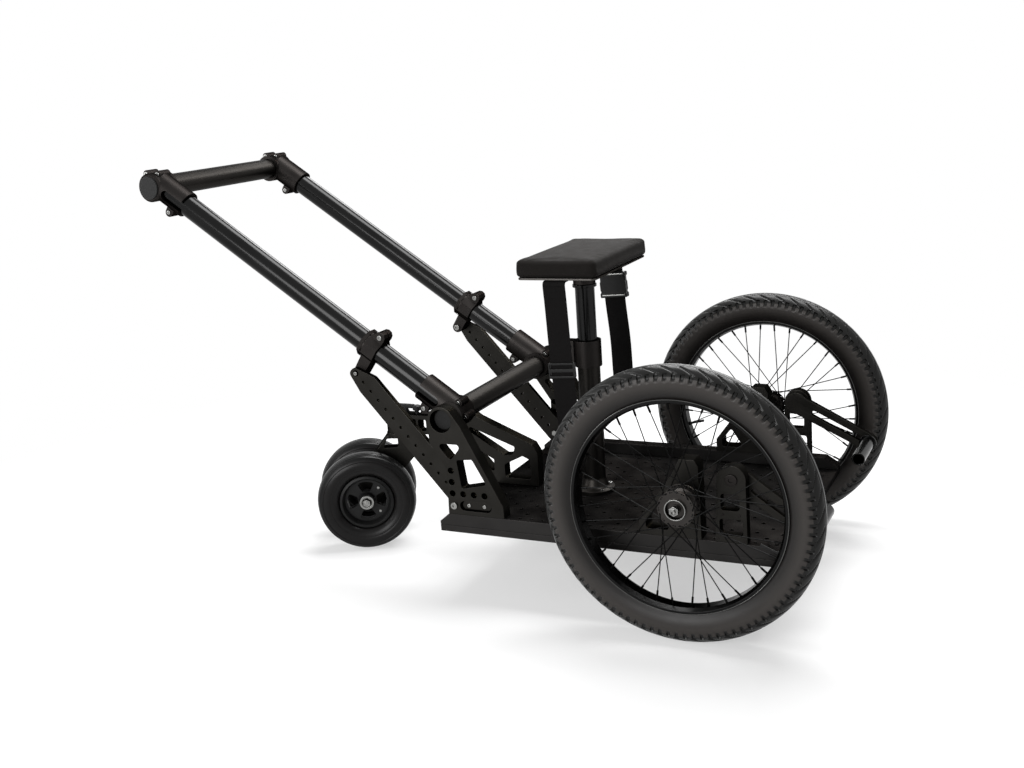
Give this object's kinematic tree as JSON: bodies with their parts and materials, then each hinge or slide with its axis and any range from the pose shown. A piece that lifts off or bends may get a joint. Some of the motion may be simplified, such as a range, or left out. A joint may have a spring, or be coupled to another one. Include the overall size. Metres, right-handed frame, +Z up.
{
  "type": "camera rickshaw",
  "caption": "Low camera cart with spoked front wheels, raked push handle on adjustable braces, swivelling rear caster, height-adjustable post seat with lap belt, and tilting footrests.",
  "frame": {"origin": "middle of the bounding box, on the ground that the wheels stand on", "axes": "+X forwards to the spoked wheels, +Y to the cart's left, +Z up"},
  "size_m": [1.5421, 0.7606, 0.9151],
  "materials": {
    "anodised_plate": "satin black anodised, milled",
    "gloss_black_tube": "bright black anodised tube",
    "matte_black_tube": "matte black tube",
    "cast_fitting": "bead-blasted black anodised",
    "black_nylon": "moulded black nylon",
    "tyre_rubber": "dark grey-black rubber",
    "black_rim": "semi-gloss black",
    "zinc_steel": "zinc-plated fasteners",
    "seat_cover": "black woven seat cover over foam",
    "seat_plate": "bare plate edge",
    "webbing": "black nylon webbing"
  },
  "bodies": {
    "base": {"deck_plate": "anodised_plate", "right_side_rail": "anodised_plate", "left_side_rail": "anodised_plate", "right_rear_bracket": "anodised_plate", "left_rear_bracket": "anodised_plate", "right_brace_bolt": "zinc_steel", "left_brace_bolt": "zinc_steel", "right_axle_upright": "anodised_plate", "left_axle_upright": "anodised_plate", "right_axle": "zinc_steel", "left_axle": "zinc_steel", "right_footrest_bracket": "anodised_plate", "left_footrest_bracket": "anodised_plate", "caster_arm": "anodised_plate", "caster_head": "anodised_plate", "seat_post_sleeve": "matte_black_tube", "seat_post_collar": "cast_fitting"},
    "right_wheel": {"right_tyre": "tyre_rubber", "right_rim": "black_rim", "right_hub_and_spokes": "black_rim"},
    "left_wheel": {"left_tyre": "tyre_rubber", "left_rim": "black_rim", "left_hub_and_spokes": "black_rim"},
    "handle": {"cross_tube": "matte_black_tube", "grip_bar": "matte_black_tube", "right_cross_tube_cap": "black_nylon", "left_cross_tube_cap": "black_nylon", "right_grip_cap": "black_nylon", "left_grip_cap": "black_nylon", "right_handle_tube": "gloss_black_tube", "left_handle_tube": "gloss_black_tube", "right_lower_fitting": "cast_fitting", "left_lower_fitting": "cast_fitting", "right_upper_fitting": "cast_fitting", "left_upper_fitting": "cast_fitting"},
    "handle_clamps": {"right_sliding_clamp": "cast_fitting", "left_sliding_clamp": "cast_fitting", "right_pivot_bolt": "zinc_steel", "left_pivot_bolt": "zinc_steel"},
    "handle_braces": {"right_brace": "anodised_plate", "left_brace": "anodised_plate"},
    "caster": {"caster_fork": "anodised_plate", "caster_axle": "zinc_steel"},
    "right_caster_wheel": {"right_caster_tyre": "tyre_rubber", "right_caster_hub": "black_nylon"},
    "left_caster_wheel": {"left_caster_tyre": "tyre_rubber", "left_caster_hub": "black_nylon"},
    "caster_lock": {"caster_lock_handle": "black_nylon"},
    "seat_column": {"seat_post": "gloss_black_tube"},
    "seat": {"seat_plate": "seat_plate", "seat_pad": "seat_cover", "right_belt": "webbing", "left_belt": "webbing", "belt_slider": "black_nylon", "belt_buckle": "black_nylon"},
    "right_footrest": {"right_footrest_arm": "anodised_plate", "right_footrest_peg": "gloss_black_tube"},
    "left_footrest": {"left_footrest_arm": "anodised_plate", "left_footrest_peg": "gloss_black_tube"}
  },
  "joints": [
    {"name": "right_wheel_spin", "type": "hinge", "parent": "base", "child": "right_wheel", "pos_m": [0.50035, -0.34, 0.271], "axis": [0, 1, 0], "continuous": true},
    {"name": "left_wheel_spin", "type": "hinge", "parent": "base", "child": "left_wheel", "pos_m": [0.50035, 0.34, 0.271], "axis": [0, 1, 0], "continuous": true},
    {"name": "handle_tilt", "type": "hinge", "parent": "base", "child": "handle", "pos_m": [-0.02506, 0, 0.3849], "axis": [0, 1, 0], "range_deg": [-10, 10]},
    {"name": "clamp_slide", "type": "slide", "parent": "handle", "child": "handle_clamps", "axis": [-0.8246, 0, 0.5657], "range_m": [-0.0195, 0.0195]},
    {"name": "brace_tilt", "type": "hinge", "parent": "base", "child": "handle_braces", "pos_m": [-0.00766, 0, 0.2033], "axis": [0, 1, 0], "range_deg": [-7, 7]},
    {"name": "caster_swivel", "type": "hinge", "parent": "base", "child": "caster", "pos_m": [-0.30766, 0, 0.28], "axis": [0, 0, 1], "continuous": true},
    {"name": "right_caster_wheel_spin", "type": "hinge", "parent": "caster", "child": "right_caster_wheel", "pos_m": [-0.35449, -0.08945, 0.116], "axis": [-0.4955, 0.8686, 0], "continuous": true},
    {"name": "left_caster_wheel_spin", "type": "hinge", "parent": "caster", "child": "left_caster_wheel", "pos_m": [-0.40849, 0.00523, 0.116], "axis": [-0.4955, 0.8686, 0], "continuous": true},
    {"name": "caster_lock_turn", "type": "hinge", "parent": "base", "child": "caster_lock", "pos_m": [-0.27915, 0, 0.3073], "axis": [0, 0, 1], "range_deg": [-90, 90]},
    {"name": "seat_height", "type": "slide", "parent": "base", "child": "seat_column", "axis": [0, 0, 1], "range_m": [-0.1, 0.1]},
    {"name": "seat_turn", "type": "hinge", "parent": "seat_column", "child": "seat", "pos_m": [0.19334, 0, 0.623], "axis": [0, 0, 1], "range_deg": [-60, 60]},
    {"name": "right_footrest_tilt", "type": "hinge", "parent": "base", "child": "right_footrest", "pos_m": [0.58435, -0.2557, 0.309], "axis": [0, 1, 0], "range_deg": [-68, 10]},
    {"name": "left_footrest_tilt", "type": "hinge", "parent": "base", "child": "left_footrest", "pos_m": [0.58435, 0.2557, 0.309], "axis": [0, 1, 0], "range_deg": [-60, 18]}
  ],
  "couplings": [
    {"joint": "clamp_slide", "follows": "handle_tilt", "m_per_rad": -0.10918},
    {"joint": "brace_tilt", "follows": "handle_tilt", "ratio": 0.65894}
  ]
}
